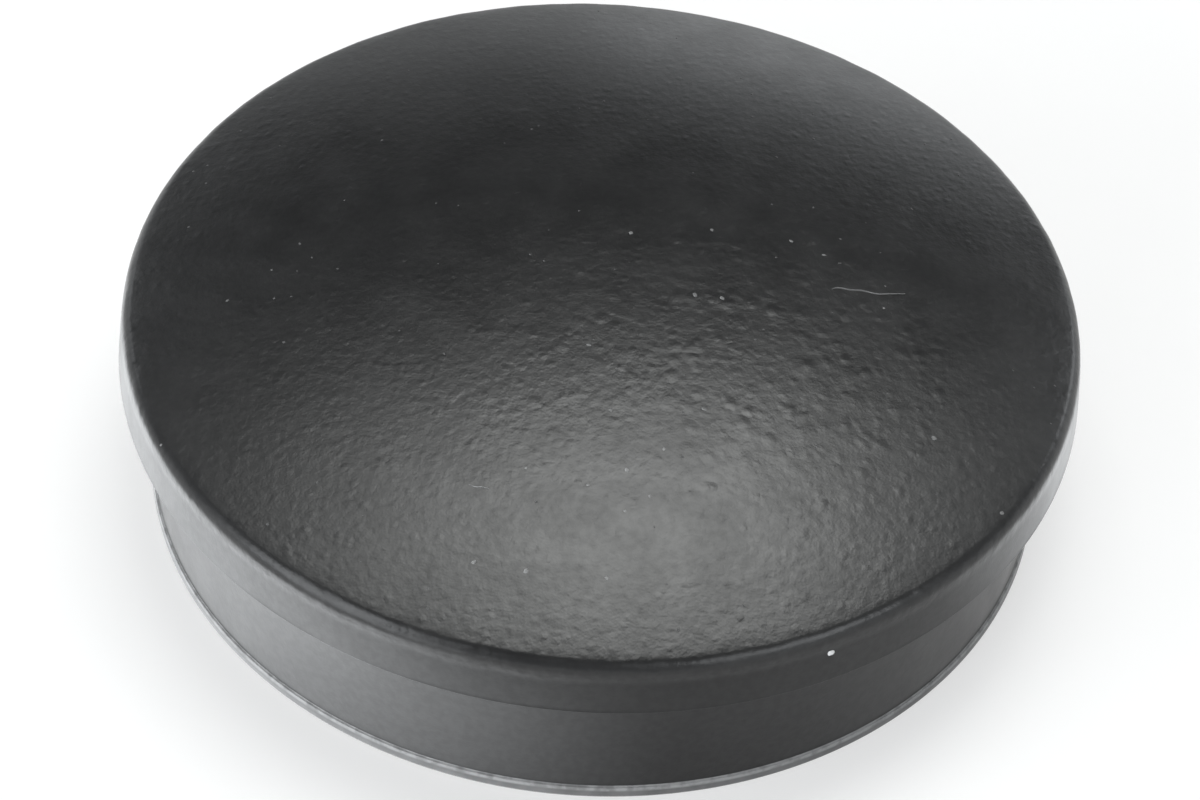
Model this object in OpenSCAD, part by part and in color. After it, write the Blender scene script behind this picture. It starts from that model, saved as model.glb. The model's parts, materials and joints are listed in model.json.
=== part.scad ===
// Wiper arm nut cover: a round moulded cap that plugs the recess over the arm's spindle nut.
// The frame stands on the rim: the origin is the centre of the rim, and +Z points out of the dome.
// All sizes are in millimetres and all angles in degrees.

/* [Skirt] */
// Outside diameter of the skirt, the plain cylinder that enters the arm's recess
skirt_d = 22.5; // [18:0.25:30]
// Height of the skirt, from the rim to the seat under the lip
skirt_h = 3.9; // [3:0.1:7]
// Thickness of the skirt's wall at the rim
skirt_t = 1.1; // [0.8:0.05:1.8]

/* [Snap bead] */
// How far the bead at the foot of the skirt stands out from it
bead_proud = 0.07; // [0.03:0.01:0.15]
// Height of the bead
bead_h = 0.34; // [0.32:0.02:0.8]

/* [Lip] */
// How far the lip stands out past the skirt, which is the width of the seat
lip_overhang = 0.75; // [0.4:0.05:2]
// Height of the lip's side, from the seat to its corner with the dome before rounding
lip_h = 1.4; // [1:0.1:3]
// Draft of the lip's side, which narrows towards the dome
lip_draft = 5; // [0:0.5:10]
// Radius of the rounded edge between the lip's side and the dome
edge_r = 0.4; // [0.2:0.05:0.8]

/* [Head] */
// Rise of the dome above its corner with the lip's side
dome_rise = 1.9; // [1:0.1:3.5]
// Thickness of the head, measured square to the dome
head_t = 1.2; // [0.8:0.05:1.8]

/* [Inside] */
// Draft of the inside wall, which narrows towards the head
inside_draft = 1.5; // [0:0.25:3]
// Radius of the fillet between the inside wall and the underside of the head
inside_fillet_r = 0.8; // [0.3:0.05:1.5]

/* [Hidden] */

// How far a cut runs past the face that it opens
overcut = 1;
// How far a rounding stands proud of the faces that it joins, so that they cross and leave no sliver
crossing = 0.0002;
// Steps round a full circle
circle_steps = 240;

skirt_r = skirt_d / 2;
lip_r = skirt_r + lip_overhang;

// Corner that the lip's side and the dome would share without their rounding
corner_r = lip_r - lip_h * tan(lip_draft);
corner_z = skirt_h + lip_h;

// The dome is part of a sphere through that corner and the crown
dome_r = (corner_r * corner_r + dome_rise * dome_rise) / (2 * dome_rise);
dome_z = corner_z + dome_rise - dome_r;

// The bead is a round back whose chord lies on the skirt
bead_r = (bead_h * bead_h / 4 + bead_proud * bead_proud) / (2 * bead_proud);

// Radius of the inside wall where a cut below the rim starts
mouth_r = skirt_r - skirt_t + overcut * tan(inside_draft);

// Half of a domed body: a side that leans in by draft from foot, under a crown of radius crown_r
// about the axis at crown_z, with their corner rounded to round_r.
module domed_profile(foot, draft, crown_r, crown_z, round_r) {
    outward = [cos(draft), sin(draft)];
    upward = [-sin(draft), cos(draft)];
    crown = [0, crown_z];
    // The rounding's centre lies round_r inside the side and round_r inside the crown
    start = foot - round_r * outward - crown;
    reach = crown_r - round_r;
    climb = sqrt(pow(start * upward, 2) - start * start + reach * reach) - start * upward;
    centre = crown + start + climb * upward;

    intersection() {
        translate(crown) circle(r = crown_r, $fn = circle_steps);
        polygon([
            [0, foot.y],
            foot,
            centre + round_r * outward,
            centre,
            crown + 2 * (centre - crown),
            crown + [0, 2 * crown_r],
        ]);
    }
    translate(centre) circle(r = round_r + crossing, $fn = circle_steps);
}

// Half-section of the bead, cut off level with the rim
module bead_profile() {
    intersection() {
        translate([skirt_r + bead_proud - bead_r, bead_h / 2]) circle(r = bead_r, $fn = circle_steps);
        translate([skirt_r - bead_r, 0]) square(2 * bead_r);
    }
}

// Half-section of the whole cover with no hollow
module outside_profile() {
    domed_profile([lip_r, skirt_h], lip_draft, dome_r, dome_z, edge_r);
    square([skirt_r, skirt_h]);
    bead_profile();
}

// Half-section of the hollow, whose roof keeps the head one thickness all over
module inside_profile() {
    domed_profile([mouth_r, -overcut], inside_draft, dome_r - head_t, dome_z, inside_fillet_r);
}

module nut_cover() {
    color([0.09, 0.09, 0.095])
        rotate_extrude($fn = circle_steps)
            difference() {
                outside_profile();
                inside_profile();
            }
}

nut_cover();
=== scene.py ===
# Looks of the wiper arm nut cover: a satin black moulded cap, standing on a pale studio floor.
# Everything is in metres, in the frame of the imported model.
import json
import math
import random

import bmesh
import bpy
from mathutils import Matrix, Quaternion, Vector, noise
from mathutils.bvhtree import BVHTree


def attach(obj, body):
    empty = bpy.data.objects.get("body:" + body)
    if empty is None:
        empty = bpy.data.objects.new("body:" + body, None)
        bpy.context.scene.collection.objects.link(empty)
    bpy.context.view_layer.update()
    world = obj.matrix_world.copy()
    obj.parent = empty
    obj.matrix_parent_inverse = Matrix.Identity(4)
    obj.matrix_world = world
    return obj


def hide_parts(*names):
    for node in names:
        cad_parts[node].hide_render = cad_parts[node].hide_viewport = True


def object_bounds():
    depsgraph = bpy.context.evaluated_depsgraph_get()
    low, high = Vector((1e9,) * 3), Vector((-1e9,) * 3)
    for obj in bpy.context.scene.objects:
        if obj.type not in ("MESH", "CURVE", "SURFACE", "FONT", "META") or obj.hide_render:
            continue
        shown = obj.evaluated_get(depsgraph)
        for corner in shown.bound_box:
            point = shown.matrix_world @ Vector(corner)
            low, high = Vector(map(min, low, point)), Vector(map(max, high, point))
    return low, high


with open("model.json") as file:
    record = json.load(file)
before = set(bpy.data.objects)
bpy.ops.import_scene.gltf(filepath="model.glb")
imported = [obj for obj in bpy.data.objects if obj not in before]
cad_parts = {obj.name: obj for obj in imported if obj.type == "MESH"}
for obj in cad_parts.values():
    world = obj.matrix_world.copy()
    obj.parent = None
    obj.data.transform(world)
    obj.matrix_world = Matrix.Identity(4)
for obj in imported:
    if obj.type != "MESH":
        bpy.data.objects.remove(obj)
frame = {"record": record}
cad_low, cad_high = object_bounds()

MM = 0.001
NODE = "nut_cover"
BODY = "root"

# Sizes that the frame gives
mounts = {mount["name"]: mount for mount in frame["record"]["mounts"]}
LIP_R = (cad_high.x - cad_low.x) / 2
CROWN_Z = cad_high.z
RIM_Z = cad_low.z
SKIRT_R = mounts["skirt"]["dims"]["r_mm"] * MM
SEAT_Z = mounts["lip_seat"]["pos_m"][2]

# The cover's other sizes
LIP_H = 1.4 * MM
LIP_DRAFT = math.radians(5)
EDGE_R = 0.4 * MM
SKIRT_T = 1.1 * MM
BEAD_PROUD = 0.07 * MM
BEAD_H = 0.34 * MM
# Corners of the bead's section, in shares of how far it stands out and of its height
BEAD_CORNERS = [(0, 1), (0.7, 0.95), (1, 0.6), (1, 0.2), (0.55, 0)]
HEAD_T = 1.2 * MM
INSIDE_DRAFT = math.radians(1.5)
INSIDE_FILLET_R = 0.8 * MM

# Sizes worked out from those
CORNER_R = LIP_R - LIP_H * math.tan(LIP_DRAFT)
CORNER_Z = SEAT_Z + LIP_H
DOME_RISE = CROWN_Z - CORNER_Z
DOME_R = (CORNER_R**2 + DOME_RISE**2) / (2 * DOME_RISE)
DOME_CENTRE = Vector((0, CROWN_Z - DOME_R))

# Fineness of the mesh
SEGMENTS = 384
OUTSIDE_STEP = 0.12 * MM
INSIDE_STEP = 0.5 * MM
LEAST_ARC_STEPS = 4
# How much finer a rounding is divided than the crown beside it
ROUNDING_FINENESS = 3
# Moulded softness of the corners that the drawing leaves sharp
CORNER_SOFT = 0.015 * MM
SHARP_TURN = math.radians(20)
SOFT_STEPS = 5
# Largest share of a stretch that a softened corner takes up
LARGEST_TRIM = 0.45

# Camera, as the photograph's outline fits it: a long lens looking down at the cover, tipped a little
IMAGE_W, IMAGE_H = 1200, 800
SENSOR_W = 36.0
FOCAL_PIXELS = 3718.0
VIEW_ELEVATION = math.radians(45.2)
VIEW_ROLL = math.radians(3.97)
VIEW_DISTANCE = 8 * LIP_R
VIEW_RIGHT = 0.0064 * LIP_R
VIEW_UP = 0.1146 * LIP_R


# Profile of the cover

def arc(centre, radius, start, end, step):
    """Points along an arc in the half-section, from angle start to angle end."""
    count = max(LEAST_ARC_STEPS, math.ceil(abs(end - start) * radius / step))
    angles = [start + (end - start) * i / count for i in range(count + 1)]
    return [centre + radius * Vector((math.cos(a), math.sin(a))) for a in angles]


def rounding(foot, draft, crown_r, round_r):
    """Centre of the rounding between a drafted side through foot and a crown about the dome's centre."""
    outward = Vector((math.cos(draft), math.sin(draft)))
    upward = Vector((-math.sin(draft), math.cos(draft)))
    start = foot - round_r * outward - DOME_CENTRE
    reach = crown_r - round_r
    along = start.dot(upward)
    climb = math.sqrt(along**2 - start.dot(start) + reach**2) - along
    return DOME_CENTRE + start + climb * upward


def domed_profile(foot, draft, crown_r, round_r, step):
    """Points from the crown on the axis, round the corner, down to the foot of the drafted side."""
    centre = rounding(foot, draft, crown_r, round_r)
    spoke = centre - DOME_CENTRE
    meet = math.atan2(spoke.y, spoke.x)
    crown = arc(DOME_CENTRE, crown_r, math.pi / 2, meet, step)
    corner = arc(centre, round_r, meet, draft, step / ROUNDING_FINENESS)
    crown[0].x = 0
    return crown + corner[1:] + [foot]


def bead_profile():
    """Points down the snap bead, from its ledge on the skirt, over its face, to the rim."""
    return [Vector((SKIRT_R + BEAD_PROUD * out, RIM_Z + BEAD_H * up)) for out, up in BEAD_CORNERS]


def softened(points):
    """The same line with each sharp corner turned into a small arc."""
    result = [points[0]]
    for before, corner, after in zip(points, points[1:], points[2:]):
        back, ahead = before - corner, after - corner
        turn = math.pi - back.angle(ahead)
        if turn < SHARP_TURN:
            result.append(corner)
            continue
        longest = min(back.length, ahead.length) * LARGEST_TRIM
        trim = min(CORNER_SOFT * math.tan(turn / 2), longest)
        first = corner + back.normalized() * trim
        last = corner + ahead.normalized() * trim
        for i in range(SOFT_STEPS + 1):
            t = i / SOFT_STEPS
            result.append((1 - t)**2 * first + 2 * t * (1 - t) * corner + t**2 * last)
    return result + [points[-1]]


def divided(points, step):
    """The same line with no stretch longer than step."""
    result = [points[0]]
    for start, end in zip(points, points[1:]):
        count = max(1, math.ceil((end - start).length / step))
        result += [start.lerp(end, i / count) for i in range(1, count + 1)]
    return result


def cover_profile():
    """The whole half-section: over the dome, down the skirt, under the rim and up the inside."""
    lip_foot = Vector((LIP_R, SEAT_Z))
    mouth = Vector((SKIRT_R - SKIRT_T, RIM_Z))
    outside = domed_profile(lip_foot, LIP_DRAFT, DOME_R, EDGE_R, OUTSIDE_STEP)
    outside += [Vector((SKIRT_R, SEAT_Z))] + bead_profile()
    inside = domed_profile(mouth, INSIDE_DRAFT, DOME_R - HEAD_T, INSIDE_FILLET_R, INSIDE_STEP)
    line = softened(outside + inside[::-1])
    split = min(range(len(line)), key=lambda i: line[i].y)
    return divided(line[:split + 1], OUTSIDE_STEP) + divided(line[split:], INSIDE_STEP)[1:]


# Mesh of the cover

# Slow waves all over, and a rougher edge between the dome and the lip
WAVE_LENGTH = 2.6 * MM
WAVE_HEIGHT = 0.0015 * MM
RAGGED_LENGTH = 0.6 * MM
RAGGED_HEIGHT = 0.014 * MM
RAGGED_WIDTH = 0.3 * MM
# Lumps round one spot of the dome, fading out over a distance and towards the back
LUMP_SPACING = 0.62 * MM
LUMP_R = 0.36 * MM
LUMP_HEIGHT = 0.016 * MM
LUMP_SPOT = Vector((5 * MM, -2.5 * MM, 6.7 * MM))
LUMP_REACH = 9 * MM
LUMP_FADE = 0.75
# Where the dome's texture calms down towards the back, and by what share
CALM_START = 0.2 * LIP_R
CALM_END = 0.7 * LIP_R
CALM = 0.6


def rise(value, low, high):
    """A soft step from 0 at low to 1 at high."""
    t = min(max((value - low) / (high - low), 0), 1)
    return t * t * (3 - 2 * t)


def hollow_between_lumps(point):
    """How far the dome lies below the tops of its lumps."""
    distances, centres = noise.voronoi(point / LUMP_SPACING)
    crown = 1 - rise(distances[0], 0, LUMP_R / LUMP_SPACING)
    size = noise.cell_vector(centres[0]).x
    near = 1 - LUMP_FADE * rise((point - LUMP_SPOT).length, 0, LUMP_REACH)
    calm = 1 - CALM * rise(point.y, CALM_START, CALM_END)
    on_dome = rise(point.z, CORNER_Z - EDGE_R, CORNER_Z - EDGE_R / 2)
    return LUMP_HEIGHT * (1 - crown * size) * near * calm * on_dome


def unevenness(point):
    """How far the moulded surface lies below its true form: slow waves, lumps and a rougher edge."""
    wave = noise.noise(point / WAVE_LENGTH) * WAVE_HEIGHT
    edge_distance = Vector((Vector(point.xy).length - CORNER_R, point.z - CORNER_Z)).length
    edge = math.exp(-(edge_distance / RAGGED_WIDTH)**2)
    ragged = noise.noise(point / RAGGED_LENGTH) * RAGGED_HEIGHT * edge
    return WAVE_HEIGHT + RAGGED_HEIGHT * edge + wave + ragged + hollow_between_lumps(point)


def lathe(name, profile):
    """A mesh turned about the axis from a line that starts and ends on it."""
    turns = [2 * math.pi * i / SEGMENTS for i in range(SEGMENTS)]
    points = [Vector((0, 0, profile[0].y))]
    for p in profile[1:-1]:
        points += [Vector((p.x * math.cos(a), p.x * math.sin(a), p.y)) for a in turns]
    points.append(Vector((0, 0, profile[-1].y)))

    def ring(row, column):
        return 1 + row * SEGMENTS + column % SEGMENTS

    last_row = len(profile) - 3
    faces = []
    for column in range(SEGMENTS):
        faces.append((0, ring(0, column), ring(0, column + 1)))
        faces.append((len(points) - 1, ring(last_row, column + 1), ring(last_row, column)))
        for row in range(last_row):
            faces.append((
                ring(row, column),
                ring(row + 1, column),
                ring(row + 1, column + 1),
                ring(row, column + 1),
            ))
    mesh = bpy.data.meshes.new(name)
    mesh.from_pydata(points, [], faces)
    mesh.shade_smooth()
    return mesh


def make_cover():
    """The cover as one fine moulding in place of its plain solid."""
    mesh = lathe("cover", cover_profile())
    normals = [Vector(v.normal) for v in mesh.vertices]
    for vertex, normal in zip(mesh.vertices, normals):
        if vertex.co.z > SEAT_Z and normal.z > 0:
            vertex.co -= normal * unevenness(vertex.co)
    cover = bpy.data.objects.new("cover", mesh)
    bpy.context.collection.objects.link(cover)
    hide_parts(NODE)
    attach(cover, BODY)
    return cover


# Materials

def add_node(tree, kind, inputs=None, **settings):
    """A new node, with its settings and with its inputs linked from sockets or set to values."""
    made = tree.nodes.new(kind)
    for name, value in settings.items():
        setattr(made, name, value)
    for name, value in (inputs or {}).items():
        if isinstance(value, bpy.types.NodeSocket):
            tree.links.new(value, made.inputs[name])
        else:
            made.inputs[name].default_value = value
    return made


def new_material(name):
    """An empty material with its principled shader."""
    material = bpy.data.materials.new(name)
    material.use_nodes = True
    tree = material.node_tree
    return material, tree, tree.nodes["Principled BSDF"]


def grey(value, blue=0.0):
    """A neutral colour, with a little more blue where asked."""
    return (value, value, value * (1 + blue), 1)


def combine(tree, operation, first, second=0.0):
    """Values or sockets worked into one."""
    return add_node(tree, "ShaderNodeMath", {0: first, 1: second}, operation=operation).outputs[0]


def times(tree, first, second):
    return combine(tree, "MULTIPLY", first, second)


def plus(tree, first, second):
    return combine(tree, "ADD", first, second)


def ranged(tree, value, low, high, to_low, to_high):
    """A value moved from one range to another and held inside it."""
    return add_node(tree, "ShaderNodeMapRange", {
        "Value": value,
        "From Min": low,
        "From Max": high,
        "To Min": to_low,
        "To Max": to_high,
    }, interpolation_type="SMOOTHSTEP").outputs["Result"]


def mixed(tree, share, first, second):
    """The colour of a socket, turning into a plain colour by share."""
    blend = add_node(tree, "ShaderNodeMix", data_type="RGBA")
    sockets = {socket.identifier: socket for socket in blend.inputs}
    tree.links.new(share, sockets["Factor_Float"])
    tree.links.new(first, sockets["A_Color"])
    sockets["B_Color"].default_value = second
    return next(socket for socket in blend.outputs if socket.identifier == "Result_Color")


# Range that soft noise mostly keeps to
NOISE_LOW, NOISE_HIGH = 0.3, 0.7


def noise_at(tree, place, size, detail=2.0):
    """Soft noise whose lumps are about size across."""
    return add_node(tree, "ShaderNodeTexNoise", {
        "Vector": place,
        "Scale": 1 / size,
        "Detail": detail,
        "Roughness": 0.5,
    }).outputs["Fac"]


def noise_between(tree, place, size, low, high):
    """Soft noise spread between two values."""
    return ranged(tree, noise_at(tree, place, size, 3.0), NOISE_LOW, NOISE_HIGH, low, high)


def pebbled(tree, place, spacing, radius):
    """Round bumps of many heights, about spacing apart."""
    cells = add_node(tree, "ShaderNodeTexVoronoi", {"Vector": place, "Scale": 1 / spacing})
    crown = ranged(tree, cells.outputs["Distance"], 0, radius / spacing, 1, 0)
    size = add_node(tree, "ShaderNodeSeparateColor", {"Color": cells.outputs["Color"]}).outputs["Red"]
    return times(tree, crown, size)


# Plastic: greys of the base colour, a little blue in them, and roughness
PLASTIC_GREYS = (0.006, 0.010)
PLASTIC_BLUE = 0.03
PLASTIC_TONE_SIZE = 3 * MM
PLASTIC_IOR = 1.5
ROUGHNESS = (0.29, 0.34)
ROUGHNESS_SIZE = 1.2 * MM
# Gloss of the side and of the dome, and the fine mottle in it
SIDE_GLOSS = 0.35
DOME_GLOSS = 0.5
MOTTLE = 0.08
MOTTLE_SIZE = 0.2 * MM
# Heights between which the side's texture grows into the dome's, and the side's share of it
TEXTURE_START = CORNER_Z - 1.4 * EDGE_R
TEXTURE_END = CORNER_Z - 0.8 * EDGE_R
SIDE_TEXTURE = 0.12
# Relief from coarse to fine: knobs among the mesh's lumps, orange peel, pebbles and grain
KNOB_SPACING = 0.46 * MM
KNOB_R = 0.24 * MM
KNOB_HEIGHT = 0.013 * MM
PEEL_SIZE = 0.24 * MM
PEEL_HEIGHT = 0.009 * MM
PEBBLE_SPACING = 0.26 * MM
PEBBLE_R = 0.15 * MM
PEBBLE_HEIGHT = 0.005 * MM
GRAIN_SIZE = 0.06 * MM
GRAIN_HEIGHT = 0.0015 * MM
# Wear of the bead, lightened further by painted sheen, which ends just above it, and dust on its ledge,
# made paler as a painted highlight
BEAD_WEAR_AND_SHEEN_GREY = 0.16
BEAD_WEAR_AND_SHEEN_SIZE = 0.8 * MM
LEAST_BEAD_WEAR_AND_SHEEN = 0.7
BEAD_WEAR_AND_SHEEN_TOP = RIM_Z + BEAD_H
BEAD_WEAR_AND_SHEEN_END = RIM_Z + 1.12 * BEAD_H
LEDGE_DUST_AND_HIGHLIGHT_GREY = 0.32
LEDGE_DUST_AND_HIGHLIGHT_SIZE = 0.3 * MM
LEAST_LEDGE_DUST_AND_HIGHLIGHT = 0.35
LEDGE_START = RIM_Z + 0.6 * BEAD_H
LEDGE_END = RIM_Z + 0.8 * BEAD_H
# Noise values between which the ledge's dust and painted highlight thicken
LEDGE_DUST_AND_HIGHLIGHT_RANGE = (0.35, 0.6)


def bead_wear_and_sheen(tree, place, height, colour):
    """The plastic's colour, greyed on the bead by wear and painted sheen, and paler on the bead's ledge by
    dust and a painted highlight.
    """
    level = add_node(tree, "ShaderNodeVectorMath", {0: place, 1: (1, 1, 0)}, operation="MULTIPLY")
    radius = add_node(tree, "ShaderNodeVectorMath", {0: level.outputs["Vector"]}, operation="LENGTH")
    outside = ranged(tree, radius.outputs["Value"], SKIRT_R - BEAD_PROUD, SKIRT_R, 0.0, 1.0)
    low = ranged(tree, height, BEAD_WEAR_AND_SHEEN_TOP, BEAD_WEAR_AND_SHEEN_END, 1.0, 0.0)
    on_bead = times(tree, outside, low)
    # Painted sheen on the bead's face, laid on together with its wear as a lighter grey
    wear_and_sheen = noise_between(tree, place, BEAD_WEAR_AND_SHEEN_SIZE, LEAST_BEAD_WEAR_AND_SHEEN, 1.0)
    wear_and_sheen_colour = mixed(tree, times(tree, on_bead, wear_and_sheen), colour, grey(BEAD_WEAR_AND_SHEEN_GREY))
    # Painted highlight along the bead's ledge, laid on together with its dust as a pale grey
    on_ledge = ranged(tree, height, LEDGE_START, LEDGE_END, 0.0, 1.0)
    dust_and_highlight_patches = noise_at(tree, place, LEDGE_DUST_AND_HIGHLIGHT_SIZE, 4.0)
    patchy = ranged(tree, dust_and_highlight_patches, *LEDGE_DUST_AND_HIGHLIGHT_RANGE, LEAST_LEDGE_DUST_AND_HIGHLIGHT, 1.0)
    dust = times(tree, times(tree, on_bead, on_ledge), patchy)
    return mixed(tree, dust, wear_and_sheen_colour, grey(LEDGE_DUST_AND_HIGHLIGHT_GREY))


def bump(tree, height, distance, under=None):
    """A relief given as a normal: height times distance, laid over the relief under it."""
    inputs = {"Height": height, "Distance": distance}
    if under is not None:
        inputs["Normal"] = under
    return add_node(tree, "ShaderNodeBump", inputs).outputs["Normal"]


def satin_black():
    """Satin black plastic with a pebbly dome, a smoother side and a bead greyed by wear and painted sheen.
    """
    material, tree, shader = new_material("satin_black")
    place = add_node(tree, "ShaderNodeTexCoord").outputs["Object"]
    axes = add_node(tree, "ShaderNodeSeparateXYZ", {"Vector": place}).outputs

    tone = noise_at(tree, place, PLASTIC_TONE_SIZE, 4.0)
    colour = add_node(tree, "ShaderNodeValToRGB", {"Fac": tone})
    for stop, position, value in zip(colour.color_ramp.elements, (NOISE_LOW, NOISE_HIGH), PLASTIC_GREYS):
        stop.position = position
        stop.color = grey(value, PLASTIC_BLUE)
    # The bead's colour carries a painted sheen on its face and a painted highlight on its ledge
    wear_and_sheen = bead_wear_and_sheen(tree, place, axes["Z"], colour.outputs["Color"])
    tree.links.new(wear_and_sheen, shader.inputs["Base Color"])
    shine = noise_between(tree, place, ROUGHNESS_SIZE, *ROUGHNESS)
    tree.links.new(shine, shader.inputs["Roughness"])
    shader.inputs["IOR"].default_value = PLASTIC_IOR

    on_dome = ranged(tree, axes["Z"], TEXTURE_START, TEXTURE_END, SIDE_TEXTURE, 1.0)
    gloss = ranged(tree, on_dome, SIDE_TEXTURE, 1.0, SIDE_GLOSS, DOME_GLOSS)
    mottle = noise_between(tree, place, MOTTLE_SIZE, 1 - MOTTLE, 1 + MOTTLE)
    tree.links.new(times(tree, gloss, mottle), shader.inputs["Specular IOR Level"])

    calm = ranged(tree, axes["Y"], CALM_START, CALM_END, 1.0, 1 - CALM)
    rough = times(tree, on_dome, calm)
    away = add_node(tree, "ShaderNodeVectorMath", {0: place, 1: LUMP_SPOT}, operation="DISTANCE")
    knobbly = ranged(tree, away.outputs["Value"], 0, LUMP_REACH, 1.0, 1 - LUMP_FADE)
    knobs = times(tree, pebbled(tree, place, KNOB_SPACING, KNOB_R), times(tree, rough, knobbly))
    peel = times(tree, noise_at(tree, place, PEEL_SIZE), rough)
    pebbles = times(tree, pebbled(tree, place, PEBBLE_SPACING, PEBBLE_R), rough)
    relief = bump(tree, knobs, KNOB_HEIGHT)
    relief = bump(tree, peel, PEEL_HEIGHT, relief)
    relief = bump(tree, pebbles, PEBBLE_HEIGHT, relief)
    relief = bump(tree, noise_at(tree, place, GRAIN_SIZE), GRAIN_HEIGHT, relief)
    tree.links.new(relief, shader.inputs["Normal"])
    return material


def speckled(name, greys, size):
    """A material whose colour wanders between two greys, with its tree and shader."""
    material, tree, shader = new_material(name)
    place = add_node(tree, "ShaderNodeTexCoord").outputs["Object"]
    tone = add_node(tree, "ShaderNodeValToRGB", {"Fac": noise_at(tree, place, size, 3.0)})
    for stop, value in zip(tone.color_ramp.elements, greys):
        stop.color = grey(value)
    tree.links.new(tone.outputs["Color"], shader.inputs["Base Color"])
    return material, tree, shader


FLOOR_GREYS = (0.45, 0.47)
FLOOR_TONE_SIZE = 4 * MM
FLOOR_GLOW = 0.55


def pale_floor():
    """Plain pale paper, with a little glow of its own to what sees or mirrors it."""
    material, tree, shader = speckled("pale_floor", FLOOR_GREYS, FLOOR_TONE_SIZE)
    shader.inputs["Roughness"].default_value = 1.0
    shader.inputs["Specular IOR Level"].default_value = 0.0
    rays = add_node(tree, "ShaderNodeLightPath").outputs
    seen = plus(tree, plus(tree, rays["Is Camera Ray"], rays["Is Glossy Ray"]), rays["Is Transmission Ray"])
    shader.inputs["Emission Color"].default_value = grey(1.0)
    tree.links.new(times(tree, seen, FLOOR_GLOW), shader.inputs["Emission Strength"])
    return material


DUST_TONE_SIZE = 0.05 * MM
DUST_ROUGHNESS = 0.8


def dusty(name, greys):
    """Dull grains between two greys."""
    material, _, shader = speckled(name, greys, DUST_TONE_SIZE)
    shader.inputs["Roughness"].default_value = DUST_ROUGHNESS
    return material


# Marks on the surface, at the pixels of the photograph where they show

FIBRE_PIXELS = [(832, 289), (838, 288), (850, 290), (863, 291), (876, 294), (891, 294), (905, 294)]
SCRATCH_PIXELS = [(469, 485), (476, 487), (482, 487), (489, 489)]
WHITE_SPECK_PIXEL = (831, 653)
DUST_PIXELS = [
    (631, 233), (712, 230), (791, 241), (824, 255), (695, 295), (722, 298), (589, 345), (611, 410),
    (704, 409), (934, 438), (1002, 513), (161, 445),
]
# Dust where the dome's highlight lies, painted lighter there as a painted highlight
DUST_IN_HIGHLIGHT_PIXELS = [
    (884, 308), (526, 468), (588, 485), (627, 470), (664, 449), (650, 496), (625, 511), (474, 562),
    (526, 571), (607, 578),
]
FIBRE_R = 0.020 * MM
SCRATCH_R = 0.016 * MM
DUST_R = 0.07 * MM
DUST_IN_HIGHLIGHT_R = 0.055 * MM
WHITE_SPECK_R = 0.09 * MM
FINE_DUST_COUNT = 90
FINE_DUST_REACH = CORNER_R * 0.97
# Range of sizes, in shares of the radius above
DUST_SPREAD = (0.7, 1.2)
FINE_DUST_SPREAD = (0.3, 0.6)
# Form of a speck, in shares of its radius, and the noise that makes it uneven
SPECK_LENGTH = (0.7, 1.3)
SPECK_WIDTH = (0.6, 1.0)
SPECK_FLATNESS = 0.13
SPECK_UNEVEN = 0.35
SPECK_NOISE_SCALE = 1.4
NOISE_SHIFT = 50
# Height of a thread's middle over the surface and thickness of its tips, in shares of its radius
THREAD_LIFT = 0.4
THREAD_TIP = 0.5
# Darkest and lightest grey of each kind of mark
DUST_GREYS = (0.09, 0.22)
# The dust in the highlight is painted lighter than the other dust, as a painted highlight
DUST_PAINTED_LIT_GREYS = (0.17, 0.28)
FINE_DUST_GREYS = (0.045, 0.11)
WHITE_SPECK_GREYS = (0.75, 0.9)
LINT_GREYS = (0.09, 0.16)
SCRATCH_GREYS = (0.14, 0.28)
DUST_SEED = 7
WHITE_SPECK_SEED = 211


class Surface:
    """Finds where a pixel of the photograph falls on the cover."""

    def __init__(self, cover, camera):
        mesh = cover.data
        faces = [face.vertices for face in mesh.polygons]
        self.tree = BVHTree.FromPolygons([v.co for v in mesh.vertices], faces)
        self.eye = camera.location.copy()
        self.turn = camera.rotation_euler.to_matrix()

    def at(self, pixel):
        """Place on the surface, and the direction square to it."""
        x, y = pixel
        towards = self.turn @ Vector((x - IMAGE_W / 2, IMAGE_H / 2 - y, -FOCAL_PIXELS))
        place, square, _, _ = self.tree.ray_cast(self.eye, towards.normalized())
        return place, square

    def below(self, x, y):
        """Place on the surface straight below a point over the dome, and the direction square to it."""
        place, square, _, _ = self.tree.ray_cast(Vector((x, y, 2 * CROWN_Z)), Vector((0, 0, -1)))
        return place, square


def speck(builder, place, square, radius):
    """A small uneven grain that lies half sunk in the surface."""
    turn = square.to_track_quat("Z", "Y").to_matrix().to_4x4()
    length = radius * random.uniform(*SPECK_LENGTH)
    width = radius * random.uniform(*SPECK_WIDTH)
    shape = Matrix.Diagonal((length, width, radius * SPECK_FLATNESS, 1))
    made = bmesh.ops.create_icosphere(builder, subdivisions=2, radius=1, matrix=Matrix.Identity(4))
    spin = Matrix.Rotation(random.uniform(0, math.pi), 4, "Z")
    shift = Vector([random.uniform(-NOISE_SHIFT, NOISE_SHIFT) for _ in range(3)])
    for vertex in made["verts"]:
        vertex.co *= 1 + SPECK_UNEVEN * noise.noise(vertex.co * SPECK_NOISE_SCALE + shift)
        vertex.co = Matrix.Translation(place) @ turn @ spin @ shape @ vertex.co


def add_specks(name, specks, material):
    """One piece made of specks, each given as its place, the direction square to it and a radius."""
    builder = bmesh.new()
    for place, square, radius in specks:
        speck(builder, place, square, radius)
    mesh = bpy.data.meshes.new(name)
    builder.to_mesh(mesh)
    builder.free()
    mesh.shade_smooth()
    mesh.materials.append(material)
    piece = bpy.data.objects.new(name, mesh)
    bpy.context.collection.objects.link(piece)
    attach(piece, BODY)


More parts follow.
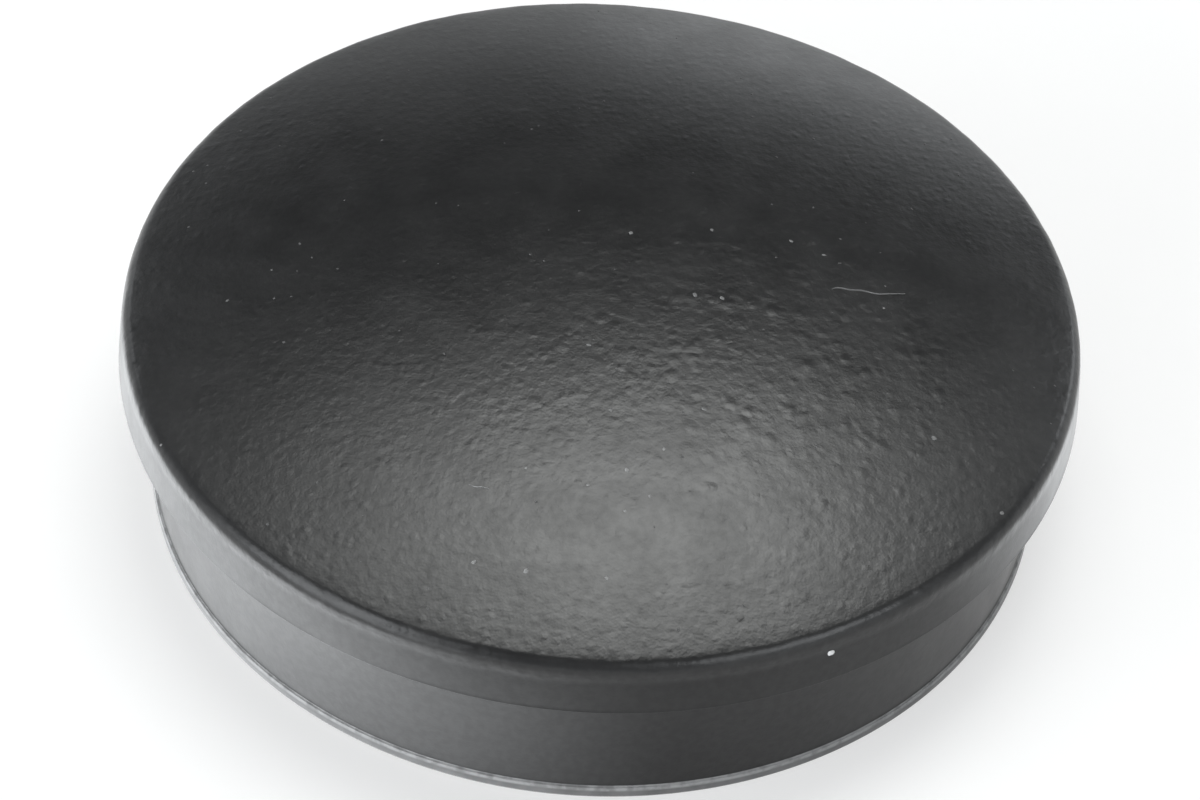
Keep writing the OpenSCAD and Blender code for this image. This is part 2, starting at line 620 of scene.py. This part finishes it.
def make_dust(surface):
    """Specks of dust on the dome: those that show one by one, those in the highlight painted lighter as a
    painted highlight, and fainter ones strewn between them.
    """
    random.seed(DUST_SEED)
    for name, pixels, radius, greys in (
        ("dust", DUST_PIXELS, DUST_R, DUST_GREYS),
        # The second kind is the same dust with a painted highlight
        ("dust_painted_lit", DUST_IN_HIGHLIGHT_PIXELS, DUST_IN_HIGHLIGHT_R, DUST_PAINTED_LIT_GREYS),
    ):
        specks = [(*surface.at(pixel), radius * random.uniform(*DUST_SPREAD)) for pixel in pixels]
        add_specks(name, specks, dusty(name, greys))
    faint = []
    for _ in range(FINE_DUST_COUNT):
        reach = FINE_DUST_REACH * math.sqrt(random.random())
        bearing = random.uniform(0, 2 * math.pi)
        place, square = surface.below(reach * math.cos(bearing), reach * math.sin(bearing))
        faint.append((place, square, DUST_R * random.uniform(*FINE_DUST_SPREAD)))
    add_specks("fine_dust", faint, dusty("fine_dust", FINE_DUST_GREYS))


def make_white_speck(surface):
    """One white speck on the lip's side."""
    random.seed(WHITE_SPECK_SEED)
    add_specks("white_speck", [(*surface.at(WHITE_SPECK_PIXEL), WHITE_SPECK_R)], dusty("white_speck_grains", WHITE_SPECK_GREYS))


def make_thread(name, surface, pixels, radius, material):
    """A thin line that lies along the surface under those pixels."""
    curve = bpy.data.curves.new(name, "CURVE")
    curve.dimensions = "3D"
    curve.bevel_depth = radius
    curve.bevel_resolution = 2
    curve.use_fill_caps = True
    spline = curve.splines.new("BEZIER")
    spline.bezier_points.add(len(pixels) - 1)
    for i, (point, pixel) in enumerate(zip(spline.bezier_points, pixels)):
        place, square = surface.at(pixel)
        point.co = place + square * radius * THREAD_LIFT
        point.handle_left_type = point.handle_right_type = "AUTO"
        point.radius = THREAD_TIP if i in (0, len(pixels) - 1) else 1.0
    curve.materials.append(material)
    thread = bpy.data.objects.new(name, curve)
    bpy.context.collection.objects.link(thread)
    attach(thread, BODY)


# Stage and camera

FLOOR_REACH = 60 * LIP_R


def make_floor():
    """A wide floor under the cover."""
    mesh = bpy.data.meshes.new("floor")
    ways = [(-1, -1), (1, -1), (1, 1), (-1, 1)]
    corners = [(x * FLOOR_REACH, y * FLOOR_REACH, RIM_Z) for x, y in ways]
    mesh.from_pydata(corners, [], [(0, 1, 2, 3)])
    mesh.materials.append(pale_floor())
    floor = bpy.data.objects.new("floor", mesh)
    bpy.context.collection.objects.link(floor)


def make_camera():
    """The camera at the photograph's view."""
    ahead = Vector((0, math.cos(VIEW_ELEVATION), -math.sin(VIEW_ELEVATION)))
    level = Vector((1, 0, 0))
    upright = level.cross(ahead)
    right = math.cos(VIEW_ROLL) * level + math.sin(VIEW_ROLL) * upright
    up = math.cos(VIEW_ROLL) * upright - math.sin(VIEW_ROLL) * level
    place = VIEW_RIGHT * level + VIEW_UP * upright - VIEW_DISTANCE * ahead
    data = bpy.data.cameras.new("camera")
    data.sensor_width = SENSOR_W
    data.lens = FOCAL_PIXELS / IMAGE_W * SENSOR_W
    data.clip_start = VIEW_DISTANCE / 20
    data.clip_end = VIEW_DISTANCE * 100
    camera = bpy.data.objects.new("camera", data)
    turned = Matrix((right, up, -ahead)).transposed()
    camera.matrix_world = Matrix.Translation(place) @ turned.to_4x4()
    bpy.context.collection.objects.link(camera)
    bpy.context.scene.camera = camera
    return camera


# Light

SOFTBOX_COLOUR = (0.985, 1.0, 0.985)
ROOM_COLOUR = (0.97, 1.0, 1.025)
# The room's brightness by direction: from one share of an axis to another, and the brightness at each
ROOM_HORIZON = (0.12, 0.38, 0.85, 0.10)
ROOM_FRONT = (-0.1, -0.7, 0.0, 0.2)
ROOM_SIDES = (0.33, 0.6, 0.0, 0.25)
# Name, height, then as shares of it the place to the right and to the back, width and depth, and last
# the turn in degrees and radiance
SOFTBOXES = [
    ("softbox_halo", 0.48, 0.05, 0.31, 1.10, 0.72, 12, 0.5),
    ("softbox", 0.45, 0.02, 0.33, 0.88, 0.44, 15, 2.8),
    ("softbox_core", 0.42, 0.09, 0.28, 0.50, 0.48, 20, 3.9),
    ("softbox_right", 0.39, 0.58, 0.62, 0.34, 0.40, 0, 1.2),
    ("softbox_left", 0.39, -0.48, 0.42, 0.40, 0.50, 0, 0.6),
]
# Distance of the fills and cards from the cover, and for each of them its name, azimuth and elevation
# in degrees, width, depth and radiance
LAMP_REACH = 0.42
FILLS = [
    ("front_fill", -150, 14, 0.25, 0.15, 7.0),
    ("left_fill", -112, 9, 0.25, 0.10, 14.0),
]
CARDS = [
    ("right_card", 50, 22, 0.11, 0.11, 3.4),
    ("back_card", 12, 10, 0.18, 0.09, 1.3),
    ("left_card", -50, 22, 0.10, 0.10, 1.8),
    ("front_left_card", -140, 6, 0.20, 0.12, 2.2),
    ("front_right_card", 132, 38, 0.28, 0.16, 3.4),
    ("left_edge_card", -124, 30, 0.26, 0.27, 3.6),
]
# Name, lift over the floor in mm, azimuth in degrees, distance, width and depth in mm, and radiance
FLOOR_CARDS = [
    ("floor_front", 0.05, -148, 14.1, 25.5, 16.0, 2.6),
    ("floor_left", 0.08, -113, 17.5, 60.0, 17.0, 2.6),
    ("floor_right", 0.05, 92, 16.0, 22.0, 9.0, 1.25),
]


def direction(azimuth, elevation):
    """A direction from the cover, by degrees right of straight behind it and above the floor."""
    a, e = math.radians(azimuth), math.radians(elevation)
    return Vector((math.sin(a) * math.cos(e), math.cos(a) * math.cos(e), math.sin(e)))


def area_lamp(name, place, target, size, radiance, colour, turn=0.0, mirrored=True, lighting=True):
    """A soft lamp of size (width, depth) that faces the target; radiance 1 looks white."""
    data = bpy.data.lights.new(name, "AREA")
    data.shape = "RECTANGLE"
    data.size, data.size_y = size
    data.energy = radiance * math.pi * size[0] * size[1]
    data.color = colour
    lamp = bpy.data.objects.new(name, data)
    lamp.location = place
    lamp.rotation_mode = "QUATERNION"
    spin = Quaternion((0, 0, 1), turn)
    lamp.rotation_quaternion = (place - target).to_track_quat("Z", "Y") @ spin
    lamp.visible_camera = False
    lamp.visible_glossy = mirrored
    lamp.visible_diffuse = lighting
    bpy.context.collection.objects.link(lamp)
    return data


def fade_out(lamp):
    """Lets a lamp fade from its middle to its edge."""
    lamp.use_nodes = True
    tree = lamp.node_tree
    spot = add_node(tree, "ShaderNodeNewGeometry").outputs["Parametric"]
    away = add_node(tree, "ShaderNodeVectorMath", {0: spot, 1: (0.5, 0.5, 0)}, operation="DISTANCE")
    glow = ranged(tree, away.outputs["Value"], 0, 0.5, 1, 0)
    tree.links.new(glow, tree.nodes["Emission"].inputs["Strength"])


def make_world():
    """A room that is pale round the horizon, dim above it, and a little paler in front and at the sides."""
    world = bpy.data.worlds.new("room")
    world.use_nodes = True
    tree = world.node_tree
    towards = add_node(tree, "ShaderNodeTexCoord").outputs["Generated"]
    axes = add_node(tree, "ShaderNodeSeparateXYZ", {"Vector": towards}).outputs
    horizon = ranged(tree, axes["Z"], *ROOM_HORIZON)
    front = ranged(tree, axes["Y"], *ROOM_FRONT)
    sides = ranged(tree, combine(tree, "ABSOLUTE", axes["X"]), *ROOM_SIDES)
    background = tree.nodes["Background"].inputs
    background["Color"].default_value = (*ROOM_COLOUR, 1)
    tree.links.new(plus(tree, plus(tree, horizon, front), sides), background["Strength"])
    bpy.context.scene.world = world


def make_lights():
    """Softboxes over the cover, fills in front of it, and cards round it and on the floor to mirror."""
    for name, height, across, back, width, depth, turn, radiance in SOFTBOXES:
        place = Vector((across, back, 1)) * height
        below = Vector((across, back, 0)) * height
        size = (width * height, depth * height)
        area_lamp(name, place, below, size, radiance, SOFTBOX_COLOUR, math.radians(turn))
    middle = Vector((0, 0, 0))
    for name, azimuth, elevation, width, depth, radiance in FILLS:
        place = direction(azimuth, elevation) * LAMP_REACH
        area_lamp(name, place, middle, (width, depth), radiance, ROOM_COLOUR, mirrored=False)
    for name, azimuth, elevation, width, depth, radiance in CARDS:
        place = direction(azimuth, elevation) * LAMP_REACH
        area_lamp(name, place, middle, (width, depth), radiance, ROOM_COLOUR, lighting=False)
    for name, lift, azimuth, distance, width, depth, radiance in FLOOR_CARDS:
        place = direction(azimuth, 0) * distance * MM + Vector((0, 0, RIM_Z + lift * MM))
        size = (width * MM, depth * MM)
        above = place + Vector((0, 0, 1))
        turn = math.radians(180 + azimuth)
        card = area_lamp(name, place, above, size, radiance, ROOM_COLOUR, turn, lighting=False)
        card.shape = "ELLIPSE"
        fade_out(card)


bpy.context.scene.view_settings.view_transform = "Standard"
camera = make_camera()
make_world()
make_lights()
make_floor()
cover = make_cover()
cover.data.materials.append(satin_black())
surface = Surface(cover, camera)
make_dust(surface)
make_white_speck(surface)
make_thread("fibre", surface, FIBRE_PIXELS, FIBRE_R, dusty("lint", LINT_GREYS))
make_thread("scratch", surface, SCRATCH_PIXELS, SCRATCH_R, dusty("bare_scratch", SCRATCH_GREYS))
